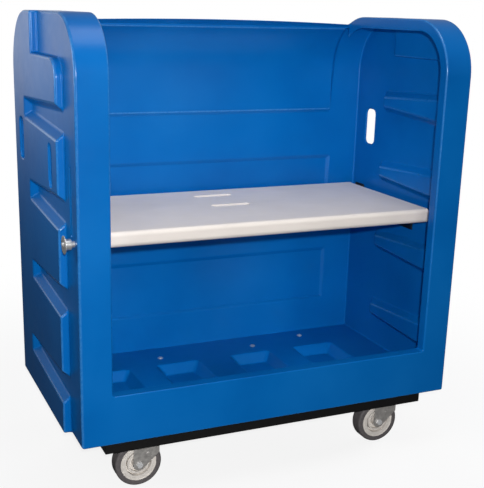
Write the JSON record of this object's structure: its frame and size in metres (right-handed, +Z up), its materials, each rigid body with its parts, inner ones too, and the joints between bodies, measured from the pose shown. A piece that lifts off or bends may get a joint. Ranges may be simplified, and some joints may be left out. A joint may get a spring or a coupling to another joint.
{
  "type": "bulk delivery cart",
  "caption": "Open-front moulded bulk delivery cart on a steel frame with swivel casters and a fold-up shelf, for moving linen and supplies.",
  "frame": {"origin": "on the floor under the middle of the cart", "axes": "+X to the right seen from the open front, +Y from the open front to the back, +Z up"},
  "size_m": [1.331, 0.708, 1.425],
  "materials": {
    "moulded_polyethylene": "satin moulded skin",
    "shelf_polyethylene": "satin moulded skin",
    "nylon": "satin",
    "black_paint": "satin paint",
    "stainless_steel": "brushed",
    "zinc_plate": "satin zinc",
    "wheel_nylon": "matte",
    "grey_rubber": "matte"
  },
  "bodies": {
    "cart": {"body_shell": "moulded_polyethylene", "front_rail": "black_paint", "rear_rail": "black_paint", "left_rail": "black_paint", "right_rail": "black_paint", "front_stringer": "black_paint", "rear_stringer": "black_paint", "caster_pads": "black_paint", "floor_bolts": "stainless_steel", "caster_bolts": "zinc_plate", "left_pivot": "black_paint", "right_pivot": "black_paint", "pivot_screws": "black_paint", "left_rest": "black_paint", "right_rest": "black_paint", "rest_screws": "black_paint", "stud_bolt": "stainless_steel", "stud_spool": "stainless_steel", "stud_flange": "stainless_steel", "stud_nut": "stainless_steel", "front_left_plate": "zinc_plate", "front_left_kingpin": "zinc_plate", "front_left_balls": "stainless_steel", "front_right_plate": "zinc_plate", "front_right_kingpin": "zinc_plate", "front_right_balls": "stainless_steel", "rear_left_plate": "zinc_plate", "rear_left_kingpin": "zinc_plate", "rear_left_balls": "stainless_steel", "rear_right_plate": "zinc_plate", "rear_right_kingpin": "zinc_plate", "rear_right_balls": "stainless_steel"},
    "shelf": {"shelf_board": "shelf_polyethylene", "shelf_bushes": "nylon"},
    "front_left_swivel": {"front_left_fork": "zinc_plate", "front_left_axle_bolt": "zinc_plate", "front_left_axle_nut": "zinc_plate", "front_left_sleeve": "stainless_steel"},
    "front_left_wheel": {"front_left_core": "wheel_nylon", "front_left_tyre": "grey_rubber"},
    "front_right_swivel": {"front_right_fork": "zinc_plate", "front_right_axle_bolt": "zinc_plate", "front_right_axle_nut": "zinc_plate", "front_right_sleeve": "stainless_steel"},
    "front_right_wheel": {"front_right_core": "wheel_nylon", "front_right_tyre": "grey_rubber"},
    "rear_left_swivel": {"rear_left_fork": "zinc_plate", "rear_left_axle_bolt": "zinc_plate", "rear_left_axle_nut": "zinc_plate", "rear_left_sleeve": "stainless_steel"},
    "rear_left_wheel": {"rear_left_core": "wheel_nylon", "rear_left_tyre": "grey_rubber"},
    "rear_right_swivel": {"rear_right_fork": "zinc_plate", "rear_right_axle_bolt": "zinc_plate", "rear_right_axle_nut": "zinc_plate", "rear_right_sleeve": "stainless_steel"},
    "rear_right_wheel": {"rear_right_core": "wheel_nylon", "rear_right_tyre": "grey_rubber"}
  },
  "joints": [
    {"name": "shelf_fold", "type": "hinge", "parent": "cart", "child": "shelf", "pos_m": [0, 0.284, 0.78136], "axis": [-1, 0, 0], "range_deg": [0, 91]},
    {"name": "front_left_swivel_turn", "type": "hinge", "parent": "cart", "child": "front_left_swivel", "pos_m": [-0.415, -0.246, 0.169], "axis": [0, 0, 1], "continuous": true},
    {"name": "front_left_wheel_spin", "type": "hinge", "parent": "front_left_swivel", "child": "front_left_wheel", "pos_m": [-0.435, -0.246, 0.075], "axis": [0, 1, 0], "continuous": true},
    {"name": "front_right_swivel_turn", "type": "hinge", "parent": "cart", "child": "front_right_swivel", "pos_m": [0.455, -0.246, 0.169], "axis": [0, 0, 1], "continuous": true},
    {"name": "front_right_wheel_spin", "type": "hinge", "parent": "front_right_swivel", "child": "front_right_wheel", "pos_m": [0.435, -0.246, 0.075], "axis": [0, 1, 0], "continuous": true},
    {"name": "rear_left_swivel_turn", "type": "hinge", "parent": "cart", "child": "rear_left_swivel", "pos_m": [-0.415, 0.246, 0.169], "axis": [0, 0, 1], "continuous": true},
    {"name": "rear_left_wheel_spin", "type": "hinge", "parent": "rear_left_swivel", "child": "rear_left_wheel", "pos_m": [-0.435, 0.246, 0.075], "axis": [0, 1, 0], "continuous": true},
    {"name": "rear_right_swivel_turn", "type": "hinge", "parent": "cart", "child": "rear_right_swivel", "pos_m": [0.455, 0.246, 0.169], "axis": [0, 0, 1], "continuous": true},
    {"name": "rear_right_wheel_spin", "type": "hinge", "parent": "rear_right_swivel", "child": "rear_right_wheel", "pos_m": [0.435, 0.246, 0.075], "axis": [0, 1, 0], "continuous": true}
  ]
}
